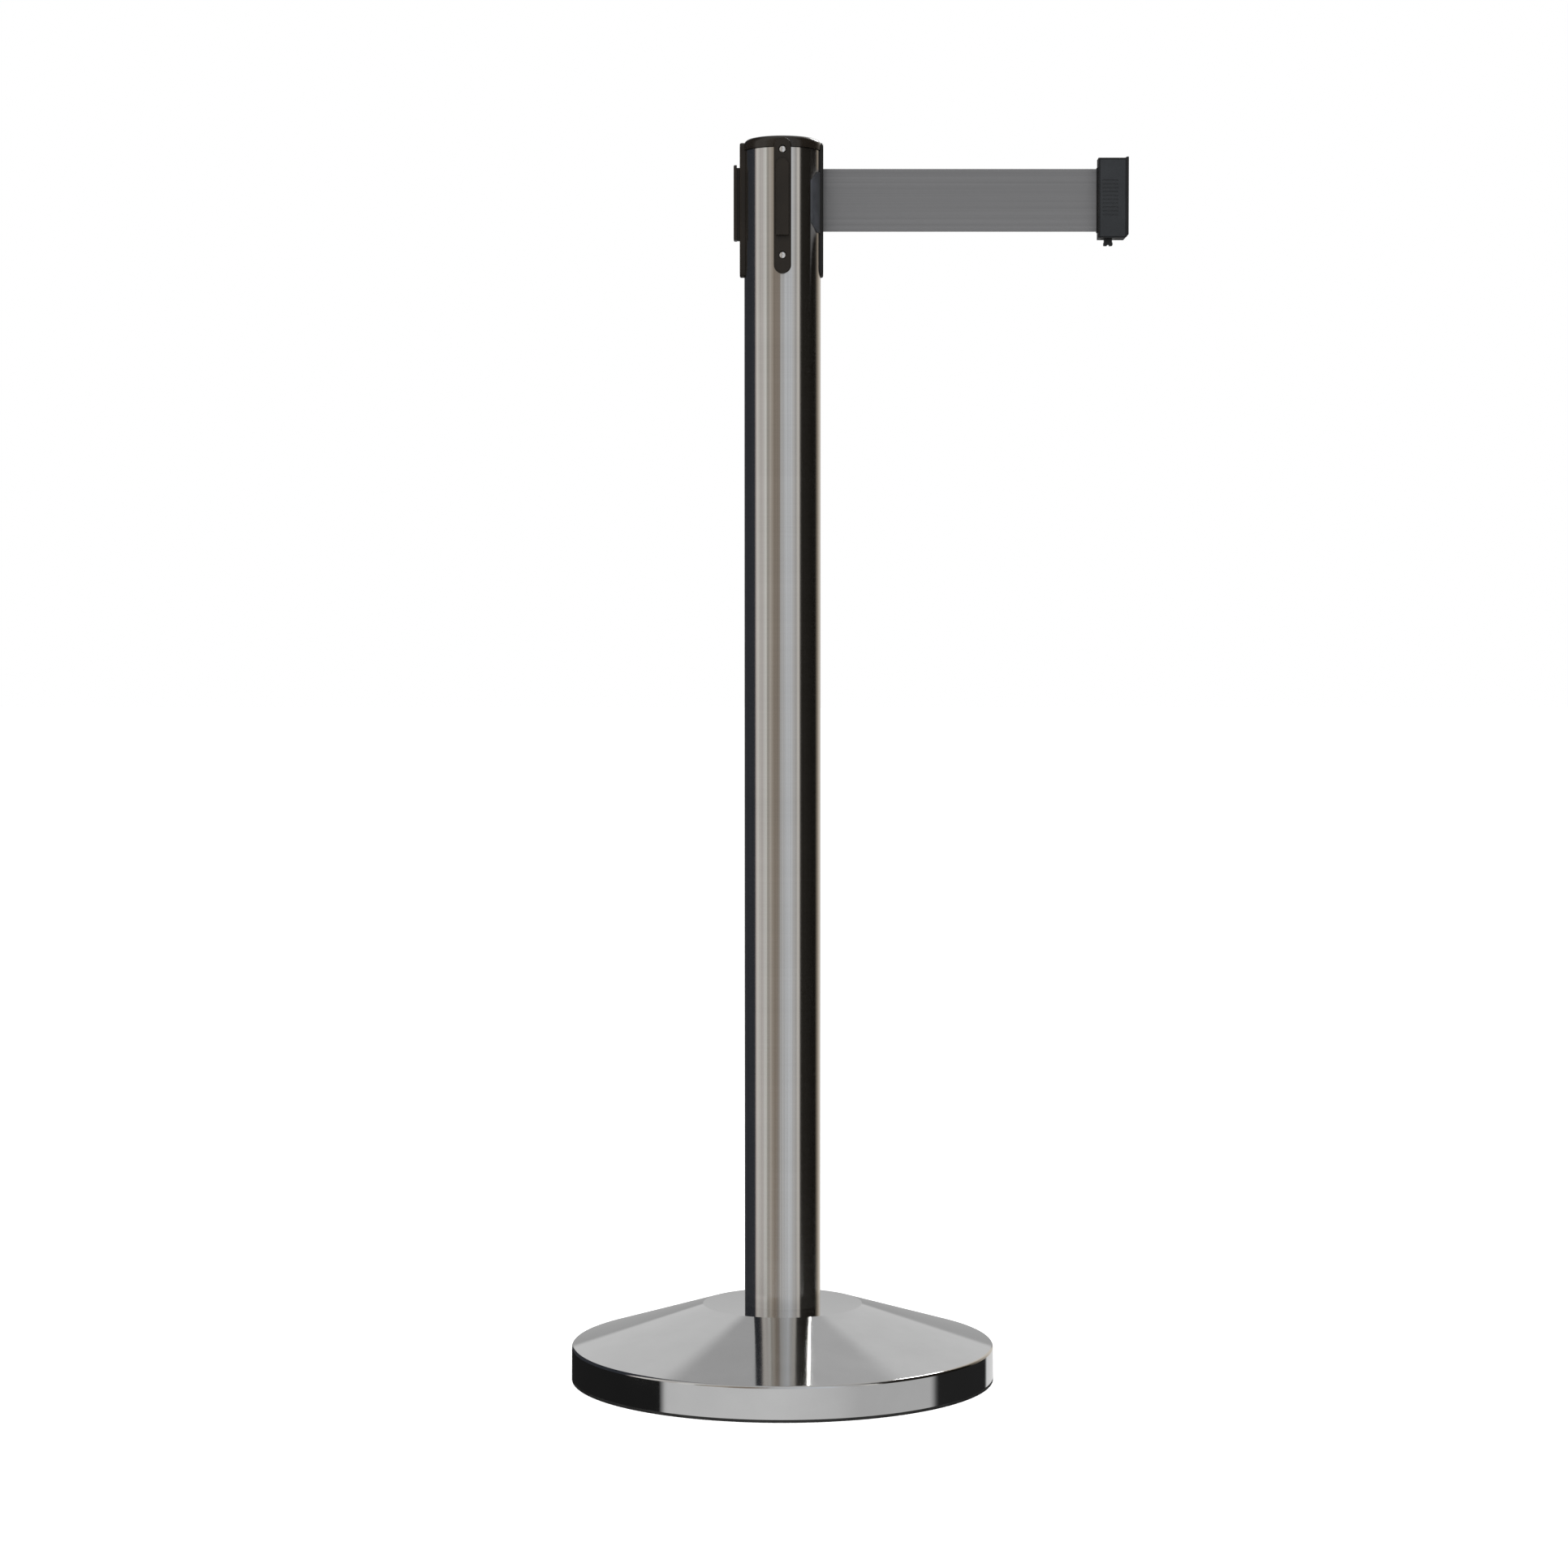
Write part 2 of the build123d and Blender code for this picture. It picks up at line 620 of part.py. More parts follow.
def make_bush(flange_low, flange_high, body_low, body_high):
    """Flanged bush between the shaft and the drum."""
    bore = SHAFT_RADIUS + RUNNING_PLAY
    body = ring(bore, BUSH_RADIUS, body_low, body_high)
    return body + ring(bore, BUSH_FLANGE_RADIUS, flange_low, flange_high)


def make_thrust_washer():
    """Washer between the upper bush and the retaining ring."""
    top = THRUST_WASHER_BOTTOM + THRUST_WASHER_THICK
    return ring(SHAFT_RADIUS + RUNNING_PLAY, THRUST_WASHER_RADIUS, THRUST_WASHER_BOTTOM, top)


def make_retaining_ring():
    """Snap ring in the shaft's groove, open on one side."""
    low = THRUST_WASHER_BOTTOM + THRUST_WASHER_THICK
    high = low + RETAINING_RING_THICK
    gap = SHAFT_RADIUS / 2
    opening = block((0, STRIP_FACE), (-gap, gap), (low, high))
    return ring(RETAINING_GROOVE_RADIUS, RETAINING_RING_RADIUS, low, high) - opening


def make_reel_drum():
    """Drum with two flanges; its hubs hold the bushes."""
    lower_hub = DRUM_BOTTOM + BUSH_LENGTH
    upper_hub = DRUM_TOP - BUSH_LENGTH
    inner = DRUM_RADIUS - DRUM_WALL
    return turned(
        (BUSH_RADIUS, DRUM_BOTTOM),
        (FLANGE_RADIUS, DRUM_BOTTOM),
        (FLANGE_RADIUS, DRUM_BOTTOM + FLANGE_THICK),
        (DRUM_RADIUS, DRUM_BOTTOM + FLANGE_THICK),
        (DRUM_RADIUS, DRUM_TOP - FLANGE_THICK),
        (FLANGE_RADIUS, DRUM_TOP - FLANGE_THICK),
        (FLANGE_RADIUS, DRUM_TOP),
        (BUSH_RADIUS, DRUM_TOP),
        (BUSH_RADIUS, upper_hub),
        (inner, upper_hub),
        (inner, lower_hub),
        (BUSH_RADIUS, lower_hub),
    )


def make_spring_case():
    """Cup under the drum that holds the mainspring and turns with it."""
    wall = ring(CASE_RADIUS - CASE_WALL, CASE_RADIUS, CASE_BOTTOM, DRUM_BOTTOM)
    hole = ARBOR_RADIUS + CASE_WALL / 2
    return wall + ring(hole, CASE_RADIUS - CASE_WALL, CASE_BOTTOM, CASE_BOTTOM + CASE_WALL)


def make_mainspring():
    """Flat spiral spring, drawn as half turns about two centres."""
    edges = []
    for side in (-1, 1):
        offset = side * MAINSPRING_THICK / 2
        for half_turn in range(2 * MAINSPRING_TURNS):
            radius = MAINSPRING_FIRST_RADIUS + half_turn * MAINSPRING_PITCH / 2 + offset
            odd = half_turn % 2
            centre = (odd * MAINSPRING_PITCH / 2, 0)
            edges.append(CenterArc(centre, radius, odd * 180, 180))
    outer_end = MAINSPRING_FIRST_RADIUS + MAINSPRING_TURNS * MAINSPRING_PITCH
    for end in (MAINSPRING_FIRST_RADIUS, outer_end):
        half = MAINSPRING_THICK / 2
        edges.append(Line((end - half, 0), (end + half, 0)))
    spiral = extrude(make_face(edges), MAINSPRING_TOP - MAINSPRING_BOTTOM)
    return Pos(0, 0, MAINSPRING_BOTTOM) * spiral


def make_belt_roll():
    """Belt that is wound on the drum, as one closed roll."""
    return ring(DRUM_RADIUS, ROLL_RADIUS, BELT_BOTTOM, BELT_TOP)


def make_belt_lead_in():
    """Run of belt from the roll to the mouth."""
    bend = TUBE_RADIUS - MOUTH_HALF_GAP
    reach = ROLL_RADIUS + ROLL_PLAY + BELT_THICK / 2
    angle = math.acos(reach / bend)
    start = (reach * math.cos(angle), -reach * math.sin(angle))
    route = FilletPolyline(start, (bend, 0), (TUBE_RADIUS, 0), radius=LEAD_IN_BEND)
    return Pos(0, 0, BELT_BOTTOM) * extrude(trace(route, BELT_THICK), BELT_WIDTH)


# ---------------------------------------------------------------- belt and clip

def make_belt_strip():
    """Belt outside the post, with the sewn loop round the clip's anchor pin."""
    half = BELT_THICK / 2
    loop_inner = PIN_RADIUS + RUNNING_PLAY
    loop_outer = loop_inner + BELT_THICK
    run_end = PIN_X - loop_inner - half
    run = block((TUBE_RADIUS + ROLL_PLAY, run_end), (-half, half), (BELT_BOTTOM, BELT_TOP))
    return run + Pos(PIN_X, 0, 0) * ring(loop_inner, loop_outer, BELT_BOTTOM, BELT_TOP)


def make_belt_anchor_pin():
    """Steel pin that holds the belt's loop in the clip."""
    return Pos(PIN_X, 0, 0) * ring(0, PIN_RADIUS, PIN_BOTTOM, PIN_TOP)


def grip_grooves(y_range):
    """Row of finger grooves across one face of the clip."""
    grooves = []
    for index in range(GRIP_GROOVES):
        level = GRIP_CENTRE_Z + (index - (GRIP_GROOVES - 1) / 2) * GRIP_PITCH
        grooves.append(block(
            (GRIP_CENTRE_X - GRIP_WIDTH / 2, GRIP_CENTRE_X + GRIP_WIDTH / 2),
            y_range,
            (level - GRIP_HEIGHT / 2, level + GRIP_HEIGHT / 2),
        ))
    return grooves


def lock_guides(y_range):
    """Pair of slanted ribs that the lock's block slides between."""
    offset = LOCK_BLOCK_WIDTH / 2 + LOCK_PLAY + GUIDE_THICK / 2
    along = (GUIDE_LENGTH - LOCK_BLOCK_LENGTH) / 2
    return [
        slanted(lock_point(along, side * offset), GUIDE_LENGTH, GUIDE_THICK, y_range)
        for side in (-1, 1)
    ]


def clip_outline():
    """Outer block of the clip: chamfered lower corner, raised ear at the upper one."""
    outline = Plane.XZ * make_face(Polyline(
        (CLIP_INNER, CLIP_BOTTOM),
        (CLIP_OUTER - CLIP_CORNER_CHAMFER, CLIP_BOTTOM),
        (CLIP_OUTER, CLIP_BOTTOM + CLIP_CORNER_CHAMFER),
        (CLIP_OUTER, CLIP_TOP + EAR_HEIGHT),
        (CLIP_OUTER - EAR_LENGTH / 2, CLIP_TOP + EAR_HEIGHT),
        (CLIP_OUTER - EAR_LENGTH, CLIP_TOP),
        (CLIP_INNER, CLIP_TOP),
        close=True,
    ))
    blank = extrude(outline, CLIP_HALF_THICK, both=True)
    long_edges = blank.edges().filter_by(Axis.Z)
    blank = fillet(long_edges, CLIP_FILLET)
    return blank


def cover_ranges():
    """Ranges along X and Z of the clip's front cover."""
    x_range = (CLIP_INNER + COVER_INSET, CLIP_OUTER - COVER_FREE_INSET)
    z_range = (CLIP_BOTTOM + COVER_INSET, CLIP_TOP - COVER_INSET)
    return x_range, z_range


def make_clip_body():
    """Main moulding of the clip, open at the front, with the T-slot on its free side."""
    inside = CLIP_HALF_THICK - CLIP_SIDE_WALL
    ledge = CLIP_HALF_THICK - COVER_THICK
    slot_inner = CLIP_OUTER - SLOT_MOUTH_WALL - SLOT_DEPTH
    hollow_outer = slot_inner - SLOT_BACK_WALL
    body = clip_outline()
    lip_z = (BELT_BOTTOM - LIP_MARGIN, BELT_TOP + LIP_MARGIN)
    lip = block((CLIP_INNER - LIP_LENGTH, CLIP_INNER), (-LIP_HALF_WIDTH, LIP_HALF_WIDTH), lip_z)
    body += fillet(lip.faces().sort_by(Axis.X)[0].edges(), LIP_FILLET)
    cover_x, cover_z = cover_ranges()
    body -= block(cover_x, (-CLIP_HALF_THICK, -ledge), cover_z)
    body -= block(
        (CLIP_INNER + CLIP_WALL, hollow_outer),
        (-ledge, inside),
        (CLIP_BOTTOM + CLIP_WALL, CLIP_TOP - CLIP_WALL),
    )
    body -= block(
        (CLIP_INNER - LIP_LENGTH, CLIP_INNER + CLIP_WALL),
        (-ENTRY_HALF_GAP, ENTRY_HALF_GAP),
        (BELT_BOTTOM - LIP_MARGIN / 2, BELT_TOP + LIP_MARGIN / 2),
    )
    # T-slot, open at the bottom
    cavity_width = RAIL_HEAD_WIDTH + 2 * SLOT_PLAY
    mouth_width = RAIL_NECK_WIDTH + 2 * SLOT_PLAY
    arch_centre = SLOT_TOP - cavity_width / 2
    mouth_inner = CLIP_OUTER - SLOT_MOUTH_WALL
    below = CLIP_BOTTOM - OVERRUN
    body -= arched((slot_inner, mouth_inner), cavity_width, below, SLOT_TOP, cavity_width / 2)
    mouth_arch = mouth_width / 2
    mouth_x = (mouth_inner, CLIP_OUTER + OVERRUN)
    body -= arched(mouth_x, mouth_width, below, arch_centre + mouth_arch, mouth_arch)
    # keyway in the floor for the lock's stub and tooth
    keyway = (-KEYWAY_HALF_WIDTH, KEYWAY_HALF_WIDTH)
    shift = LOCK_TRAVEL * math.sqrt(0.5)
    lift = TOOTH_TOP + shift + LOCK_PLAY
    keyway_x = (STUB_INNER - shift - LOCK_PLAY, slot_inner)
    body -= block(keyway_x, keyway, (below, CLIP_BOTTOM + CLIP_WALL))
    body -= block((hollow_outer, slot_inner), keyway, (below, lift))
    # shelves for the anchor pin
    shelf_y = (-PIN_SHELF_HALF_WIDTH, inside)
    shelf_x = (CLIP_INNER + CLIP_WALL, PIN_X + PIN_RADIUS + LOCK_PLAY)
    shelf_top = PIN_BOTTOM + PIN_SHELF
    body += block(shelf_x, shelf_y, (PIN_BOTTOM, shelf_top))
    body += block(shelf_x, shelf_y, (BELT_TOP + LOCK_PLAY, CLIP_TOP - CLIP_WALL))
    body -= make_belt_anchor_pin()
    # guides and spring shelf of the lock
    for guide in lock_guides((GUIDE_INNER, inside)):
        body += guide & block(
            (CLIP_INNER, hollow_outer), (0, inside), (CLIP_BOTTOM + CLIP_WALL, CLIP_TOP)
        )
    body += block(
        (SPRING_X - SPRING_SEAT_HALF, hollow_outer),
        (-SPRING_SEAT_HALF, inside),
        (SPRING_SHELF, SPRING_SHELF + SPRING_SHELF_THICK),
    )
    # screw bosses and countersinks
    head_seat = CLIP_HALF_THICK - CLIP_SCREW_HEAD_HEIGHT
    for x, z in CLIP_SCREW_PLACES:
        body += cross_pin(CLIP_BOSS_RADIUS, x, z, (CLIP_BOSS_SPLIT, inside))
        body -= cross_pin(CLIP_SCREW_RADIUS, x, z, (CLIP_BOSS_SPLIT, CLIP_HALF_THICK))
        body -= cross_pin(CLIP_SCREW_HEAD, x, z, (head_seat, CLIP_HALF_THICK))
    for groove in grip_grooves((CLIP_HALF_THICK - GRIP_DEPTH, CLIP_HALF_THICK)):
        body -= groove
    return body


def make_clip_cover():
    """Front plate of the clip, with finger grooves and the other half of the lock's guides."""
    ledge = CLIP_HALF_THICK - COVER_THICK
    cover_x, cover_z = cover_ranges()
    plate = block(
        (cover_x[0] + COVER_PLAY, cover_x[1] - COVER_PLAY),
        (-CLIP_HALF_THICK, -ledge),
        (cover_z[0] + COVER_PLAY, cover_z[1] - COVER_PLAY),
    )
    plate = chamfer(plate.faces().sort_by(Axis.Y)[0].edges(), COVER_CHAMFER)
    for groove in grip_grooves((-CLIP_HALF_THICK, -CLIP_HALF_THICK + GRIP_DEPTH)):
        plate -= groove
    slot_inner = CLIP_OUTER - SLOT_MOUTH_WALL - SLOT_DEPTH
    hollow_outer = slot_inner - SLOT_BACK_WALL - COVER_PLAY
    floor = CLIP_BOTTOM + CLIP_WALL + COVER_PLAY
    for guide in lock_guides((-ledge, -GUIDE_INNER)):
        plate += guide & block((CLIP_INNER, hollow_outer), (-ledge, 0), (floor, CLIP_TOP))
    for x, z in CLIP_SCREW_PLACES:
        plate += cross_pin(CLIP_BOSS_RADIUS, x, z, (-ledge, CLIP_BOSS_SPLIT))
        hole_end = CLIP_HALF_THICK - CLIP_SCREW_LENGTH
        plate -= cross_pin(CLIP_SCREW_RADIUS, x, z, (hole_end, CLIP_BOSS_SPLIT))
    return plate


def make_clip_screws():
    """Two self-tapping screws from the back of the clip."""
    head_seat = CLIP_HALF_THICK - CLIP_SCREW_HEAD_HEIGHT
    screws = []
    for x, z in CLIP_SCREW_PLACES:
        screw = cross_pin(CLIP_SCREW_HEAD, x, z, (head_seat, CLIP_HALF_THICK))
        tip = CLIP_HALF_THICK - CLIP_SCREW_LENGTH
        screw += cross_pin(CLIP_SCREW_RADIUS, x, z, (tip, head_seat))
        recess = block(
            (x - CLIP_SCREW_RADIUS, x + CLIP_SCREW_RADIUS),
            (CLIP_HALF_THICK - CLIP_SCREW_CROSS_DEPTH, CLIP_HALF_THICK),
            (z - CLIP_SCREW_CROSS_HALF_WIDTH, z + CLIP_SCREW_CROSS_HALF_WIDTH),
        )
        crossed = Pos(x, 0, z) * Rot(0, 90, 0) * Pos(-x, 0, -z) * recess
        screws.append((screw - recess - crossed).solid())
    return Compound(screws)


def make_lock_slider():
    """Push-up lock: stub under the clip, block between the guides, tooth across the T-slot."""
    half = LOCK_HALF_DEPTH
    slider = slanted(LOCK_BLOCK, LOCK_BLOCK_LENGTH, LOCK_BLOCK_WIDTH, (-half, half))
    slider -= block((STUB_INNER, CLIP_OUTER), (-half, half), (SPRING_SEAT, SPRING_SHELF))
    seat_x = (SPRING_X - SPRING_SEAT_HALF, SPRING_X + SPRING_SEAT_HALF)
    stub_y = (-STUB_HALF_DEPTH, STUB_HALF_DEPTH)
    slider += block(seat_x, stub_y, (LOCK_BLOCK[1], SPRING_SEAT))
    pilot_top = SPRING_SEAT + SPRING_PILOT_HEIGHT
    slider += Pos(SPRING_X, 0, 0) * ring(0, SPRING_PILOT_RADIUS, SPRING_SEAT, pilot_top)
    slider += block((NECK_INNER, LOCK_BLOCK[0]), stub_y, (CLIP_BOTTOM, NECK_TOP))
    stem_x = (STUB_INNER + STUB_FOOT, STUB_OUTER - STUB_FOOT)
    slider += block(stem_x, stub_y, (STUB_BOTTOM, STUB_SHOULDER))
    foot_top = STUB_BOTTOM + (CLIP_BOTTOM - STUB_BOTTOM) / 2
    foot = block((STUB_INNER, STUB_OUTER), stub_y, (STUB_BOTTOM, foot_top))
    slider += chamfer(foot.edges().filter_by(Axis.Y), STUB_FOOT)
    tooth_y = (-TOOTH_HALF_DEPTH, TOOTH_HALF_DEPTH)
    slider += block((TOOTH_ROOT, TOOTH_TIP), tooth_y, (TOOTH_BOTTOM, TOOTH_TOP))
    middle = (STUB_INNER + STUB_OUTER) / 2
    groove_x = (middle - STUB_GROOVE, middle + STUB_GROOVE)
    groove_z = (STUB_BOTTOM, STUB_BOTTOM + STUB_GROOVE)
    return slider - block(groove_x, stub_y, groove_z)


def make_lock_spring():
    """Small compression spring between the slider and its shelf."""
    low = SPRING_SEAT + SPRING_END_GAP
    height = SPRING_SHELF - SPRING_END_GAP - low
    coil = Helix(SPRING_PITCH, height, SPRING_COIL_RADIUS)
    section = Plane(coil @ 0, z_dir=coil % 0) * Circle(SPRING_WIRE_RADIUS)
    return Pos(SPRING_X, 0, low) * sweep(section, path=coil)


# ---------------------------------------------------------------- write every node

os.makedirs("parts", exist_ok=True)

save("floor_ring", make_floor_ring())
save("base_cover", make_base_cover())
save("base_weight", make_base_weight())
save("bolt_washer", make_bolt_washer())
save("spring_washer", make_spring_washer())
save("tie_bolt", make_tie_bolt())
save("tube_foot_plug", make_tube_foot_plug())
save("post_tube", make_post_tube())

receiver = make_receiver()
save("receiver_front", facing(FRONT, receiver))
save("receiver_left", facing(LEFT, receiver))
save("receiver_back", facing(BACK, receiver))
save("belt_exit_bezel", make_belt_exit_bezel())
save("top_cap", make_top_cap())
save("blind_rivets", make_blind_rivets())

save("cassette_housing", make_cassette_housing())
save("cassette_lid", make_cassette_lid())
save("cassette_screws", make_cassette_screws())
save("reel_shaft", make_reel_shaft())
save("lower_bush", make_bush(
    DRUM_BOTTOM - BUSH_FLANGE, DRUM_BOTTOM, DRUM_BOTTOM, DRUM_BOTTOM + BUSH_LENGTH
))
save("upper_bush", make_bush(
    DRUM_TOP, DRUM_TOP + BUSH_FLANGE, DRUM_TOP - BUSH_LENGTH, DRUM_TOP
))
save("thrust_washer", make_thrust_washer())
save("retaining_ring", make_retaining_ring())
save("reel_drum", make_reel_drum())
save("spring_case", make_spring_case())
save("mainspring", make_mainspring())
save("belt_roll", make_belt_roll())
save("belt_lead_in", make_belt_lead_in())

save("belt_strip", make_belt_strip())
save("belt_anchor_pin", make_belt_anchor_pin())
save("clip_body", make_clip_body())
save("clip_cover", make_clip_cover())
save("clip_screws", make_clip_screws())
save("lock_slider", make_lock_slider())
save("lock_spring", make_lock_spring())
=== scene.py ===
"""Looks of the retractable belt stanchion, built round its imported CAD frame. Metres throughout."""

import math

import bmesh
import bpy
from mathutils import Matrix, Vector


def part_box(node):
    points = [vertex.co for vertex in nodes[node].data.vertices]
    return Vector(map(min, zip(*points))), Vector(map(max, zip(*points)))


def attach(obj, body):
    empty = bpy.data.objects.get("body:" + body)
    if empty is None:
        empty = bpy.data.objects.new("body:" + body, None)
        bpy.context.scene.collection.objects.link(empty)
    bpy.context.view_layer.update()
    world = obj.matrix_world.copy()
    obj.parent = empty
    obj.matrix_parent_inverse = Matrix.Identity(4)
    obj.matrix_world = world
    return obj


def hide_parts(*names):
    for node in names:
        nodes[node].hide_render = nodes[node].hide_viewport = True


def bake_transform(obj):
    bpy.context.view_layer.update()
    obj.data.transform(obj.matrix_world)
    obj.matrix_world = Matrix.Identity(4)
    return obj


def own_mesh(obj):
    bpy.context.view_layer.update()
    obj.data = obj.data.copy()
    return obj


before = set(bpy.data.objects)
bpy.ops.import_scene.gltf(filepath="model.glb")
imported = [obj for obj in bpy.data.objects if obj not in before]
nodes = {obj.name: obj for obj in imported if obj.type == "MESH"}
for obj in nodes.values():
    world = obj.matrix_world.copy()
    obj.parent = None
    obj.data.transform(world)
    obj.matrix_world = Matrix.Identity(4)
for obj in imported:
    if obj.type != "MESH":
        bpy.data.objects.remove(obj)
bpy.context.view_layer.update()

# Camera: in front of the post, tilted down a little.
CAMERA_DISTANCE = 2.70
CAMERA_HEIGHT = 0.567
CAMERA_TARGET = (0.0012, 0.0, 0.471)
CAMERA_LENS = 78.545
SENSOR_WIDTH = 36.0
CAMERA_REACH = 200.0

# Belt webbing. The sewn end meets the run BELT_TAIL loop radii before the pin.
BELT_THICKNESS = 0.0005
BELT_ROWS = 50
BELT_TAIL = 2.2
BELT_LOOP_TURN = 130
BELT_LOOP_STEP = 10
BELT_SHARP_ANGLE = 40
WARP_PITCH = 0.00125
WEFT_PITCH = 0.0011

# Coil spring of the lock.
SPRING_WIRE = 0.0002
SPRING_PITCH = 0.0012
SPRING_STEPS = 20
SPRING_SIDES = 8

# How far the bezel's tone takes to change from its black strip to the painted sheen on its wings.
WING_SHEEN_BLEND = 0.010

# Finishes, as linear colours.
TUBE_STEEL = (0.66, 0.645, 0.625)
BASE_STEEL = (0.68, 0.68, 0.68)
HEAD_BLACK = (0.0100, 0.0075, 0.0052)
BEZEL_BLACK = (0.0055, 0.0052, 0.0048)
# Painted sheen: the lighter blue-grey of the bezel's wings stands in for the curved plastic's bluish
# highlight.
WING_PAINTED_SHEEN = (0.0300, 0.0320, 0.0370)
CLIP_SLATE = (0.0150, 0.0165, 0.0185)
CLIP_BORDER = (0.0070, 0.0070, 0.0075)
WEBBING_GREY = (0.100, 0.100, 0.1025)
CAST_IRON = (0.06, 0.058, 0.055)
ZINC_PLATE = (0.55, 0.56, 0.58)
SPRING_GREY = (0.22, 0.22, 0.24)
RIVET_BRIGHT = (0.86, 0.85, 0.84)
BUSH_BRASS = (0.70, 0.50, 0.24)
CASSETTE_GREY = (0.30, 0.30, 0.29)
RUBBER_DARK = (0.006, 0.006, 0.006)
RUBBER_BLOOM = (0.016, 0.016, 0.015)


# ---------------------------------------------------------------- node graphs

def new_material(name):
    """A material with one Principled shader, and its tree and shader."""
    material = bpy.data.materials.new(name)
    material.use_nodes = True
    tree = material.node_tree
    tree.nodes.clear()
    shader = tree.nodes.new("ShaderNodeBsdfPrincipled")
    output = tree.nodes.new("ShaderNodeOutputMaterial")
    tree.links.new(shader.outputs["BSDF"], output.inputs["Surface"])
    return material, tree, shader


def math_node(tree, operation, first, second=None, third=None):
    """A Math node. Each operand is a socket or a number."""
    node = tree.nodes.new("ShaderNodeMath")
    node.operation = operation
    for index, value in enumerate((first, second, third)):
        if isinstance(value, bpy.types.NodeSocket):
            tree.links.new(value, node.inputs[index])
        elif value is not None:
            node.inputs[index].default_value = value
    return node.outputs["Value"]


def stretched(tree, scale):
    """Object coordinates multiplied by a scale for each axis."""
    coordinate = tree.nodes.new("ShaderNodeTexCoord")
    mapping = tree.nodes.new("ShaderNodeMapping")
    mapping.inputs["Scale"].default_value = scale
    tree.links.new(coordinate.outputs["Object"], mapping.inputs["Vector"])
    return mapping.outputs["Vector"]


def noise(tree, scale, detail=3.0, roughness=0.55):
    """Noise from 0 to 1, with its own scale for each axis."""
    node = tree.nodes.new("ShaderNodeTexNoise")
    node.inputs["Scale"].default_value = 1.0
    node.inputs["Detail"].default_value = detail
    node.inputs["Roughness"].default_value = roughness
    tree.links.new(stretched(tree, scale), node.inputs["Vector"])
    return node.outputs["Fac"]


def spread(tree, value, low, high, to_low, to_high):
    """Maps low..high to to_low..to_high, clamped."""
    node = tree.nodes.new("ShaderNodeMapRange")
    tree.links.new(value, node.inputs["Value"])
    node.inputs["From Min"].default_value = low
    node.inputs["From Max"].default_value = high
    node.inputs["To Min"].default_value = to_low
    node.inputs["To Max"].default_value = to_high
    return node.outputs["Result"]


def tones(tree, value, dark, light, low=0.3, high=0.7):
    """A colour between dark and light as value goes from low to high."""
    ramp = tree.nodes.new("ShaderNodeValToRGB")
    ramp.color_ramp.elements[0].position = low
    ramp.color_ramp.elements[0].color = (*dark, 1)
    ramp.color_ramp.elements[1].position = high
    ramp.color_ramp.elements[1].color = (*light, 1)
    tree.links.new(value, ramp.inputs["Fac"])
    return ramp.outputs["Color"]


def mix_colour(tree, factor, first, second):
    """Mixes two colours, each a socket or a tuple."""
    node = tree.nodes.new("ShaderNodeMix")
    node.data_type = "RGBA"
    tree.links.new(factor, node.inputs["Factor"])
    # The node's colour sockets are its inputs 6 and 7 and its output 2.
    for socket, value in ((node.inputs[6], first), (node.inputs[7], second)):
        if isinstance(value, bpy.types.NodeSocket):
            tree.links.new(value, socket)
        else:
            socket.default_value = (*value, 1)
    return node.outputs[2]


def bump(tree, shader, height, depth, strength=1.0):
    """Bump of the given depth in metres where height goes from 0 to 1."""
    node = tree.nodes.new("ShaderNodeBump")
    node.inputs["Distance"].default_value = depth
    node.inputs["Strength"].default_value = strength
    tree.links.new(height, node.inputs["Height"])
    tree.links.new(node.outputs["Normal"], shader.inputs["Normal"])


def scaled(colour, factor):
    """A colour made darker or lighter."""
    return tuple(channel * factor for channel in colour)


# ---------------------------------------------------------------- materials

def brushed_tube():
    """Stainless tube: hairlines round it, faint drawn streaks along it, highlights stretched up and down."""
    material, tree, shader = new_material("brushed_stainless_tube")
    hairlines = noise(tree, (14, 14, 2600), 4.0)
    streaks = noise(tree, (900, 900, 1.6), 3.0)
    patches = noise(tree, (9, 9, 38), 3.0)
    mixed = math_node(tree, "MULTIPLY_ADD", hairlines, 0.2, math_node(tree, "MULTIPLY", streaks, 0.65))
    mixed = math_node(tree, "MULTIPLY_ADD", patches, 0.15, mixed)
    colour = tones(tree, mixed, scaled(TUBE_STEEL, 0.88), scaled(TUBE_STEEL, 1.08), 0.36, 0.64)
    tree.links.new(colour, shader.inputs["Base Color"])
    tree.links.new(spread(tree, hairlines, 0.3, 0.7, 0.16, 0.21), shader.inputs["Roughness"])
    shader.inputs["Metallic"].default_value = 1.0
    shader.inputs["Anisotropic"].default_value = 0.9
    shader.inputs["Anisotropic Rotation"].default_value = 0.25
    tangent = tree.nodes.new("ShaderNodeTangent")
    tangent.direction_type = "RADIAL"
    tangent.axis = "Z"
    tree.links.new(tangent.outputs["Tangent"], shader.inputs["Tangent"])
    bump(tree, shader, hairlines, 0.000003, 0.1)
    return material


def polished_cover():
    """Stainless cover, spun and polished: nearly a mirror, with faint turning lines."""
    material, tree, shader = new_material("polished_stainless_cover")
    haze = noise(tree, (30, 30, 30), 4.0)
    specks = noise(tree, (900, 900, 900), 2.0)
    colour = tones(tree, haze, scaled(BASE_STEEL, 0.965), scaled(BASE_STEEL, 1.02))
    tree.links.new(colour, shader.inputs["Base Color"])
    grain = math_node(tree, "MULTIPLY_ADD", specks, 0.3, math_node(tree, "MULTIPLY", haze, 0.7))
    tree.links.new(spread(tree, grain, 0.3, 0.7, 0.05, 0.085), shader.inputs["Roughness"])
    shader.inputs["Metallic"].default_value = 1.0
    bump(tree, shader, specks, 0.000004, 0.3)
    return material


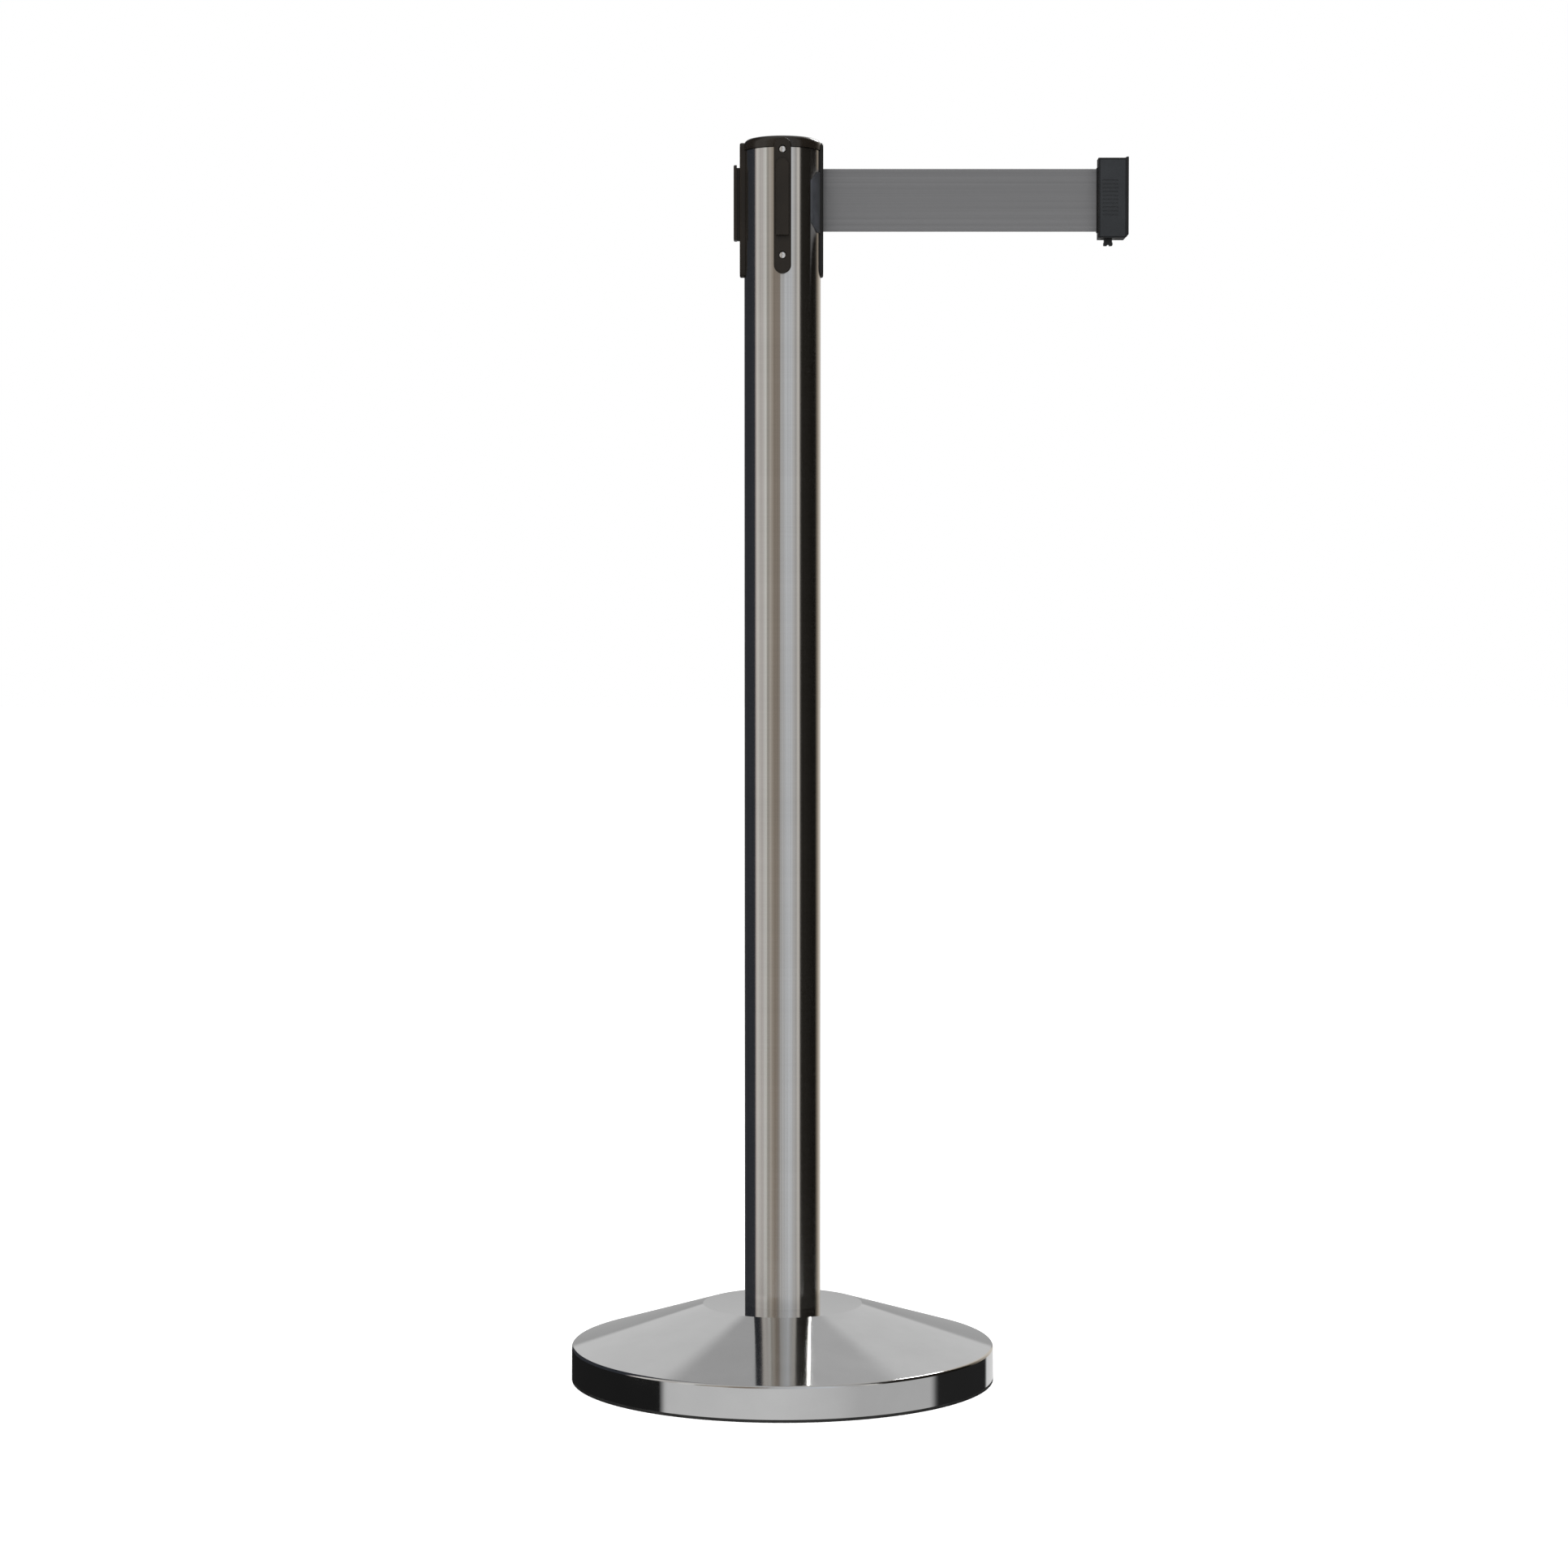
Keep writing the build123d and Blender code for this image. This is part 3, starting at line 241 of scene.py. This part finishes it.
def moulded_plastic(name, colour, roughness, gloss=0.3, grain_depth=0.00002):
    """Moulded plastic: spark-eroded grain, with faint flow marks in the tone."""
    material, tree, shader = new_material(name)
    grain = noise(tree, (2600, 2600, 2600), 2.0)
    flow = noise(tree, (35, 35, 35), 4.0)
    tree.links.new(tones(tree, flow, scaled(colour, 0.82), scaled(colour, 1.2)), shader.inputs["Base Color"])
    mixed = math_node(tree, "MULTIPLY_ADD", grain, 0.5, math_node(tree, "MULTIPLY", flow, 0.5))
    tree.links.new(
        spread(tree, mixed, 0.3, 0.7, roughness - 0.06, roughness + 0.06), shader.inputs["Roughness"]
    )
    shader.inputs["Specular IOR Level"].default_value = gloss
    bump(tree, shader, grain, grain_depth, 0.4)
    return material


def bezel_plastic():
    """The bezel's moulding: its strip black, and its thin wings round the tube a smooth blue-grey that is a
    painted sheen of the curved plastic.
    """
    material, tree, shader = new_material("bezel_moulding")
    coordinate = tree.nodes.new("ShaderNodeTexCoord")
    axes = tree.nodes.new("ShaderNodeSeparateXYZ")
    tree.links.new(coordinate.outputs["Object"], axes.inputs["Vector"])
    side = math_node(tree, "ABSOLUTE", axes.outputs["Y"])
    strip_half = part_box("receiver_front")[1].x
    # Painted sheen: beyond the strip's edge, the wings take a lighter blue-grey in place of the curved
    # plastic's highlight.
    wing_sheen_share = spread(tree, side, strip_half, strip_half + WING_SHEEN_BLEND, 0, 1)
    flow = noise(tree, (160, 160, 90), 4.0)
    black = tones(tree, flow, scaled(BEZEL_BLACK, 0.82), scaled(BEZEL_BLACK, 1.2))
    painted_sheen = tones(tree, flow, scaled(WING_PAINTED_SHEEN, 0.70), scaled(WING_PAINTED_SHEEN, 1.25))
    tree.links.new(mix_colour(tree, wing_sheen_share, black, painted_sheen), shader.inputs["Base Color"])
    tree.links.new(spread(tree, flow, 0.3, 0.7, 0.30, 0.40), shader.inputs["Roughness"])
    shader.inputs["Specular IOR Level"].default_value = 0.35
    bump(tree, shader, noise(tree, (2600, 2600, 2600), 2.0), 0.00002, 0.4)
    return material


def worked_metal(name, colour, roughness, scale, depth, contrast=0.15):
    """A small metal part: mottled tone and roughness, and a worked surface."""
    material, tree, shader = new_material(name)
    mottle = noise(tree, (scale, scale, scale), 5.0)
    tree.links.new(
        tones(tree, mottle, scaled(colour, 1 - contrast), scaled(colour, 1 + contrast)),
        shader.inputs["Base Color"],
    )
    tree.links.new(
        spread(tree, mottle, 0.3, 0.7, roughness - 0.07, roughness + 0.07), shader.inputs["Roughness"]
    )
    shader.inputs["Metallic"].default_value = 1.0
    bump(tree, shader, mottle, depth, 0.6)
    return material


def ring_rubber():
    """Black rubber with a dusty bloom."""
    material, tree, shader = new_material("floor_ring_rubber")
    bloom = noise(tree, (60, 60, 60), 5.0)
    tree.links.new(tones(tree, bloom, RUBBER_DARK, RUBBER_BLOOM), shader.inputs["Base Color"])
    tree.links.new(spread(tree, bloom, 0.3, 0.7, 0.62, 0.8), shader.inputs["Roughness"])
    bump(tree, shader, noise(tree, (1800, 1800, 1800), 2.0), 0.00004, 0.6)
    return material


def woven_webbing():
    """Polyester webbing: a fine twill of warp along it, bound by weft, with faint lengthwise stripes."""
    material, tree, shader = new_material("belt_webbing")
    coordinate = tree.nodes.new("ShaderNodeTexCoord")
    axes = tree.nodes.new("ShaderNodeSeparateXYZ")
    tree.links.new(coordinate.outputs["Object"], axes.inputs["Vector"])
    warp_phase = math_node(tree, "MULTIPLY", axes.outputs["Z"], 2 * math.pi / WARP_PITCH)
    warp = math_node(tree, "SINE", warp_phase)
    weft_phase = math_node(tree, "MULTIPLY", axes.outputs["X"], 2 * math.pi / WEFT_PITCH)
    weft_phase = math_node(tree, "MULTIPLY_ADD", axes.outputs["Z"], math.pi / WARP_PITCH, weft_phase)
    weft = math_node(tree, "SINE", weft_phase)
    weave = math_node(tree, "MULTIPLY_ADD", math_node(tree, "MULTIPLY", warp, weft), 0.25, 0.5)
    weave = math_node(tree, "MULTIPLY_ADD", warp, 0.2, weave)
    stripes = noise(tree, (1.5, 1.5, 420), 3.0)
    fuzz = noise(tree, (900, 900, 900), 3.0)
    mixed = math_node(tree, "MULTIPLY_ADD", stripes, 0.75, math_node(tree, "MULTIPLY", weave, 0.12))
    mixed = math_node(tree, "MULTIPLY_ADD", fuzz, 0.13, mixed)
    tree.links.new(
        tones(tree, mixed, scaled(WEBBING_GREY, 0.86), scaled(WEBBING_GREY, 1.14), 0.25, 0.75),
        shader.inputs["Base Color"],
    )
    tree.links.new(spread(tree, fuzz, 0.3, 0.7, 0.72, 0.88), shader.inputs["Roughness"])
    shader.inputs["Sheen Weight"].default_value = 0.08
    shader.inputs["Sheen Roughness"].default_value = 0.5
    shader.inputs["Specular IOR Level"].default_value = 0.3
    bump(tree, shader, weave, 0.00006, 0.35)
    return material


def finish_nodes(names, material):
    """Gives CAD nodes a material."""
    for name in names:
        for slot in nodes[name].material_slots:
            slot.material = material


# ---------------------------------------------------------------- belt

def strip_mesh(outline, low, high, rows):
    """A closed outline in XY, drawn up from low to high in Z in rows."""
    mesh = bmesh.new()
    rings = []
    for row in range(rows + 1):
        height = low + (high - low) * row / rows
        rings.append([mesh.verts.new((x, y, height)) for x, y in outline])
    count = len(outline)
    for lower, upper in zip(rings, rings[1:]):
        for index in range(count):
            after = (index + 1) % count
            mesh.faces.new((lower[index], lower[after], upper[after], upper[index]))
    return mesh, rings


def belt_outline(start, tail, pin_x, reach):
    """The belt from above: one flat run from the mouth, once round the pin, and sewn on itself.
    The run has no points between its ends."""
    half = BELT_THICKNESS / 2
    degrees = range(-BELT_LOOP_TURN, BELT_LOOP_TURN + 1, BELT_LOOP_STEP)
    turns = [math.radians(angle) for angle in degrees]
    loop = [(pin_x + reach * math.cos(turn), reach * math.sin(turn)) for turn in turns]
    return [(start, -half), (tail, -half)] + loop + [(tail, half), (start, half)]


def make_belt(material):
    """The belt outside the post, held at the mouth and carried by the clip's pin."""
    low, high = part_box("belt_strip")
    pin_low, pin_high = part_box("belt_anchor_pin")
    pin_x = (pin_low.x + pin_high.x) / 2
    reach = (pin_high.x - pin_low.x) / 2 + BELT_THICKNESS
    tail = pin_x - BELT_TAIL * reach
    outline = belt_outline(low.x, tail, pin_x, reach)
    mesh, rings = strip_mesh(outline, low.z, high.z, BELT_ROWS)
    mesh.faces.new(list(reversed(rings[0])))
    mesh.faces.new(rings[-1])
    data = bpy.data.meshes.new("belt_webbing_strip")
    mesh.to_mesh(data)
    mesh.free()
    data.materials.append(material)
    belt = bpy.data.objects.new("belt_webbing_strip", data)
    bpy.context.scene.collection.objects.link(belt)
    data.shade_smooth()
    data.set_sharp_from_angle(angle=math.radians(BELT_SHARP_ANGLE))
    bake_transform(belt)
    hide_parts("belt_strip")


def make_lock_spring(material):
    """The lock's coil spring, parented to the belt end's body."""
    low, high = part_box("lock_spring")
    centre = (low + high) / 2
    coil = (high.x - low.x) / 2 - SPRING_WIRE
    rise = high.z - low.z - 2 * SPRING_WIRE
    count = int(SPRING_STEPS * rise / SPRING_PITCH)
    mesh = bmesh.new()
    rings = []
    for step in range(count + 1):
        turn = 2 * math.pi * step / SPRING_STEPS
        height = low.z + SPRING_WIRE + rise * step / count
        ring = []
        for side in range(SPRING_SIDES):
            around = 2 * math.pi * side / SPRING_SIDES
            radius = coil + SPRING_WIRE * math.cos(around)
            x = centre.x + radius * math.cos(turn)
            y = centre.y + radius * math.sin(turn)
            ring.append(mesh.verts.new((x, y, height + SPRING_WIRE * math.sin(around))))
        rings.append(ring)
    for lower, upper in zip(rings, rings[1:]):
        for side in range(SPRING_SIDES):
            after = (side + 1) % SPRING_SIDES
            mesh.faces.new((lower[side], upper[side], upper[after], lower[after]))
    mesh.faces.new(rings[0])
    mesh.faces.new(list(reversed(rings[-1])))
    bmesh.ops.recalc_face_normals(mesh, faces=mesh.faces)
    data = bpy.data.meshes.new("lock_coil_spring")
    mesh.to_mesh(data)
    mesh.free()
    data.materials.append(material)
    data.shade_smooth()
    spring = bpy.data.objects.new("lock_coil_spring", data)
    bpy.context.scene.collection.objects.link(spring)
    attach(spring, "belt_end")
    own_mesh(spring)
    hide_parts("lock_spring")


# ---------------------------------------------------------------- studio

# Cards that stand round the post, as the compass sees them from it: degrees from the camera, rightwards.
CARDS = (
    (-180, (0.045, 0.045, 0.048)),
    (-128, (0.030, 0.033, 0.040)),
    (-92, (0.034, 0.038, 0.046)),
    (-88, (0.620, 0.560, 0.540)),
    (-80, (0.740, 0.740, 0.700)),
    (-71, (0.560, 0.535, 0.520)),
    (-62, (0.560, 0.535, 0.520)),
    (-56, (0.740, 0.740, 0.720)),
    (-51, (0.720, 0.720, 0.700)),
    (-46, (0.350, 0.335, 0.300)),
    (-38, (0.490, 0.455, 0.415)),
    (-32, (0.430, 0.390, 0.340)),
    (-27, (0.285, 0.245, 0.205)),
    (-18, (0.285, 0.245, 0.210)),
    (-11, (0.360, 0.345, 0.330)),
    (-6, (0.500, 0.500, 0.500)),
    (10, (0.580, 0.600, 0.625)),
    (26, (0.655, 0.685, 0.725)),
    (34, (0.560, 0.560, 0.560)),
    (42, (0.430, 0.425, 0.420)),
    (46, (0.660, 0.640, 0.610)),
    (52, (0.660, 0.640, 0.610)),
    (56, (0.050, 0.045, 0.040)),
    (62, (0.018, 0.016, 0.013)),
    (120, (0.006, 0.005, 0.004)),
    (134, (0.300, 0.260, 0.210)),
    (151, (0.670, 0.620, 0.550)),
    (180, (0.750, 0.700, 0.630)),
)

# Cards under the floor, round the base, for its rim to reflect.
RIM_CARDS = (
    (-180, (0.014, 0.014, 0.014)),
    (-50.5, (0.014, 0.014, 0.014)),
    (-47.5, (0.640, 0.640, 0.640)),
    (0, (0.690, 0.690, 0.690)),
    (20, (0.610, 0.610, 0.610)),
    (30, (0.530, 0.530, 0.530)),
    (64, (0.540, 0.540, 0.540)),
    (68, (0.020, 0.020, 0.020)),
    (113, (0.020, 0.020, 0.020)),
    (116, (0.740, 0.740, 0.740)),
    (180, (0.740, 0.740, 0.740)),
)
RIM_CARD_RADIUS = 0.30
RIM_CARD_DEPTH = 0.30
RIM_CARD_GAP = 0.0005
RIM_CARD_SIDES = 96

# The wall behind the post, which the cone of the base reflects: its foot, its middle, and overhead.
WALL_FOOT = (0.40, 0.40, 0.40)
WALL_LIGHT = (0.655, 0.655, 0.655)
OVERHEAD_LEFT = (0.425, 0.425, 0.425)
OVERHEAD_RIGHT = (0.500, 0.500, 0.500)
CEILING_GREY = (0.55, 0.55, 0.55)
CEILING_SHARE = 0.75

# Where one gives way to the next: elevations, and degrees round from the camera, as (starts, ends).
WALL_FOOT_ENDS = (9.5, 11.5)
OVERHEAD_STARTS = (38, 40.5)
CEILING_STARTS = (50, 65)
WALL_EDGE = (162, 165)

# How brightly the studio lights cloth and plastic.
SOFT_STRENGTH = 0.75

# How white the floor is of itself, so that it meets the backdrop with no edge.
FLOOR_GLOW = 0.42
FLOOR_HALF = 40.0


def compass(tree, source):
    """Compass angle, in radians rightwards from the camera's side, and height, of a point or direction."""
    coordinate = tree.nodes.new("ShaderNodeTexCoord")
    axes = tree.nodes.new("ShaderNodeSeparateXYZ")
    tree.links.new(coordinate.outputs[source], axes.inputs["Vector"])
    south = math_node(tree, "MULTIPLY", axes.outputs["Y"], -1)
    return math_node(tree, "ARCTAN2", axes.outputs["X"], south), axes.outputs["Z"]


def compass_ramp(tree, angle, cards):
    """A colour for each compass angle, in radians from -pi to pi."""
    ramp = tree.nodes.new("ShaderNodeValToRGB")
    elements = ramp.color_ramp.elements
    elements.remove(elements[1])
    for index, (degrees, colour) in enumerate(cards):
        position = degrees / 360 + 0.5
        element = elements[0] if index == 0 else elements.new(position)
        element.position = position
        element.color = (*colour, 1)
    tree.links.new(spread(tree, angle, -math.pi, math.pi, 0, 1), ramp.inputs["Fac"])
    return ramp.outputs["Color"]


def studio_world():
    """White to the camera, even to cloth and plastic, and a ring of cards to whatever shines."""
    world = bpy.data.worlds.new("studio")
    bpy.context.scene.world = world
    world.use_nodes = True
    tree = world.node_tree
    tree.nodes.clear()
    output = tree.nodes.new("ShaderNodeOutputWorld")
    angle, up = compass(tree, "Generated")
    elevation = math_node(tree, "ARCSINE", up)
    bands = compass_ramp(tree, angle, CARDS)

    def over(low, high):
        return spread(tree, elevation, math.radians(low), math.radians(high), 0, 1)

    ceiling_share = math_node(tree, "MULTIPLY", over(*CEILING_STARTS), CEILING_SHARE)
    ceiling = mix_colour(tree, ceiling_share, bands, CEILING_GREY)
    rightwards = spread(tree, angle, -0.01, 0.01, 0, 1)
    overhead = mix_colour(tree, rightwards, OVERHEAD_LEFT, OVERHEAD_RIGHT)
    wall = mix_colour(tree, over(*WALL_FOOT_ENDS), WALL_FOOT, WALL_LIGHT)
    wall = mix_colour(tree, over(*OVERHEAD_STARTS), wall, overhead)
    turned = math_node(tree, "ABSOLUTE", angle)
    wall_starts, wall_ends = WALL_EDGE
    behind = spread(tree, turned, math.radians(wall_starts), math.radians(wall_ends), 0, 1)
    shiny = mix_colour(tree, behind, ceiling, wall)

    def background(colour, strength):
        node = tree.nodes.new("ShaderNodeBackground")
        if isinstance(colour, bpy.types.NodeSocket):
            tree.links.new(colour, node.inputs["Color"])
        else:
            node.inputs["Color"].default_value = (*colour, 1)
        node.inputs["Strength"].default_value = strength
        return node.outputs["Background"]

    rays = tree.nodes.new("ShaderNodeLightPath")
    soft = background((1.0, 1.0, 1.0), SOFT_STRENGTH)
    for is_ray, seen in (
        (rays.outputs["Is Glossy Ray"], background(shiny, 1.0)),
        (rays.outputs["Is Camera Ray"], background((1.0, 1.0, 1.0), 1.0)),
    ):
        mix = tree.nodes.new("ShaderNodeMixShader")
        tree.links.new(is_ray, mix.inputs["Fac"])
        tree.links.new(soft, mix.inputs[1])
        tree.links.new(seen, mix.inputs[2])
        soft = mix.outputs["Shader"]
    tree.links.new(soft, output.inputs["Surface"])


def softbox(name, location, target, size, power, shows=False):
    """A square area light turned to a point, which shows in reflections or not."""
    light = bpy.data.lights.new(name, "AREA")
    light.energy = power
    light.size = size
    lamp = bpy.data.objects.new(name, light)
    lamp.location = location
    lamp.rotation_euler = (Vector(target) - Vector(location)).to_track_quat("-Z", "Y").to_euler()
    lamp.visible_glossy = shows
    lamp.visible_camera = False
    bpy.context.scene.collection.objects.link(lamp)


def pale_floor():
    """A plain floor, unseen in reflections."""
    material, tree, shader = new_material("studio_floor")
    grain = noise(tree, (3, 3, 3), 3.0)
    tree.links.new(tones(tree, grain, (0.90, 0.90, 0.90), (0.93, 0.93, 0.93)), shader.inputs["Base Color"])
    shader.inputs["Roughness"].default_value = 0.9
    shader.inputs["Specular IOR Level"].default_value = 0.0
    shader.inputs["Emission Color"].default_value = (1, 1, 1, 1)
    shader.inputs["Emission Strength"].default_value = FLOOR_GLOW
    data = bpy.data.meshes.new("studio_floor")
    half = FLOOR_HALF
    corners = [(-half, -half, 0), (half, -half, 0), (half, half, 0), (-half, half, 0)]
    data.from_pydata(corners, [], [(0, 1, 2, 3)])
    data.materials.append(material)
    floor = bpy.data.objects.new("studio_floor", data)
    floor.visible_glossy = False
    bpy.context.scene.collection.objects.link(floor)


def rim_cards():
    """Ring of cards below the floor, seen only in reflections."""
    material = bpy.data.materials.new("rim_cards")
    material.use_nodes = True
    tree = material.node_tree
    tree.nodes.clear()
    output = tree.nodes.new("ShaderNodeOutputMaterial")
    glow = tree.nodes.new("ShaderNodeEmission")
    angle, _ = compass(tree, "Object")
    tree.links.new(compass_ramp(tree, angle, RIM_CARDS), glow.inputs["Color"])
    tree.links.new(glow.outputs["Emission"], output.inputs["Surface"])
    turns = [2 * math.pi * side / RIM_CARD_SIDES for side in range(RIM_CARD_SIDES)]
    circle = [(RIM_CARD_RADIUS * math.cos(turn), RIM_CARD_RADIUS * math.sin(turn)) for turn in turns]
    mesh, _ = strip_mesh(circle, -RIM_CARD_DEPTH, -RIM_CARD_GAP, 1)
    data = bpy.data.meshes.new("rim_cards")
    mesh.to_mesh(data)
    mesh.free()
    data.materials.append(material)
    ring = bpy.data.objects.new("rim_cards", data)
    ring.visible_camera = False
    ring.visible_diffuse = False
    ring.visible_transmission = False
    ring.visible_shadow = False
    bpy.context.scene.collection.objects.link(ring)


def place_camera():
    """The camera that sees the whole object from the front."""
    camera = bpy.data.cameras.new("camera")
    camera.lens = CAMERA_LENS
    camera.sensor_width = SENSOR_WIDTH
    camera.clip_end = CAMERA_REACH
    holder = bpy.data.objects.new("camera", camera)
    holder.location = (0, -CAMERA_DISTANCE, CAMERA_HEIGHT)
    holder.rotation_euler = (Vector(CAMERA_TARGET) - holder.location).to_track_quat("-Z", "Y").to_euler()
    bpy.context.scene.collection.objects.link(holder)
    bpy.context.scene.camera = holder


# ---------------------------------------------------------------- scene

place_camera()
studio_world()
pale_floor()
rim_cards()
softbox("key", (-1.6, -2.4, 2.6), (0, 0, 0.5), size=1.6, power=60)
softbox("fill", (2.2, -2.0, 1.6), (0, 0, 0.5), size=1.6, power=25)
softbox("edge", (1.0, 1.73, 2.22), (0, 0, 0.97), size=0.7, power=20, shows=True)
bpy.context.scene.view_settings.view_transform = "Standard"

webbing = woven_webbing()
finish_nodes(["post_tube"], brushed_tube())
finish_nodes(["base_cover"], polished_cover())
finish_nodes(["floor_ring"], ring_rubber())
finish_nodes(["base_weight"], worked_metal("cast_iron", CAST_IRON, roughness=0.7, scale=120, depth=0.0004))
finish_nodes(
    [
        "bolt_washer", "spring_washer", "tie_bolt", "tube_foot_plug", "cassette_screws", "reel_shaft",
        "thrust_washer", "belt_anchor_pin", "clip_screws",
    ],
    worked_metal("zinc_plated_steel", ZINC_PLATE, roughness=0.34, scale=400, depth=0.00003),
)
spring_steel = worked_metal("spring_steel", SPRING_GREY, roughness=0.32, scale=300, depth=0.00002)
finish_nodes(["retaining_ring", "mainspring"], spring_steel)
make_lock_spring(spring_steel)
finish_nodes(
    ["blind_rivets"],
    worked_metal("rivet_aluminium", RIVET_BRIGHT, roughness=0.27, scale=900, depth=0.00002, contrast=0.06),
)
finish_nodes(
    ["lower_bush", "upper_bush"],
    worked_metal("bush_brass", BUSH_BRASS, roughness=0.3, scale=350, depth=0.00002),
)
finish_nodes(
    ["receiver_front", "receiver_left", "receiver_back"],
    moulded_plastic("head_moulding", HEAD_BLACK, 0.36),
)
finish_nodes(["top_cap"], moulded_plastic("cap_moulding", HEAD_BLACK, 0.24, 0.5))
finish_nodes(["belt_exit_bezel"], bezel_plastic())
finish_nodes(["clip_cover"], moulded_plastic("clip_cover_moulding", CLIP_SLATE, 0.45))
finish_nodes(["clip_body", "lock_slider"], moulded_plastic("clip_body_moulding", CLIP_BORDER, 0.42))
finish_nodes(
    ["cassette_housing", "cassette_lid", "reel_drum", "spring_case"],
    moulded_plastic("cassette_moulding", CASSETTE_GREY, 0.5),
)
finish_nodes(["belt_roll", "belt_lead_in"], webbing)
make_belt(webbing)
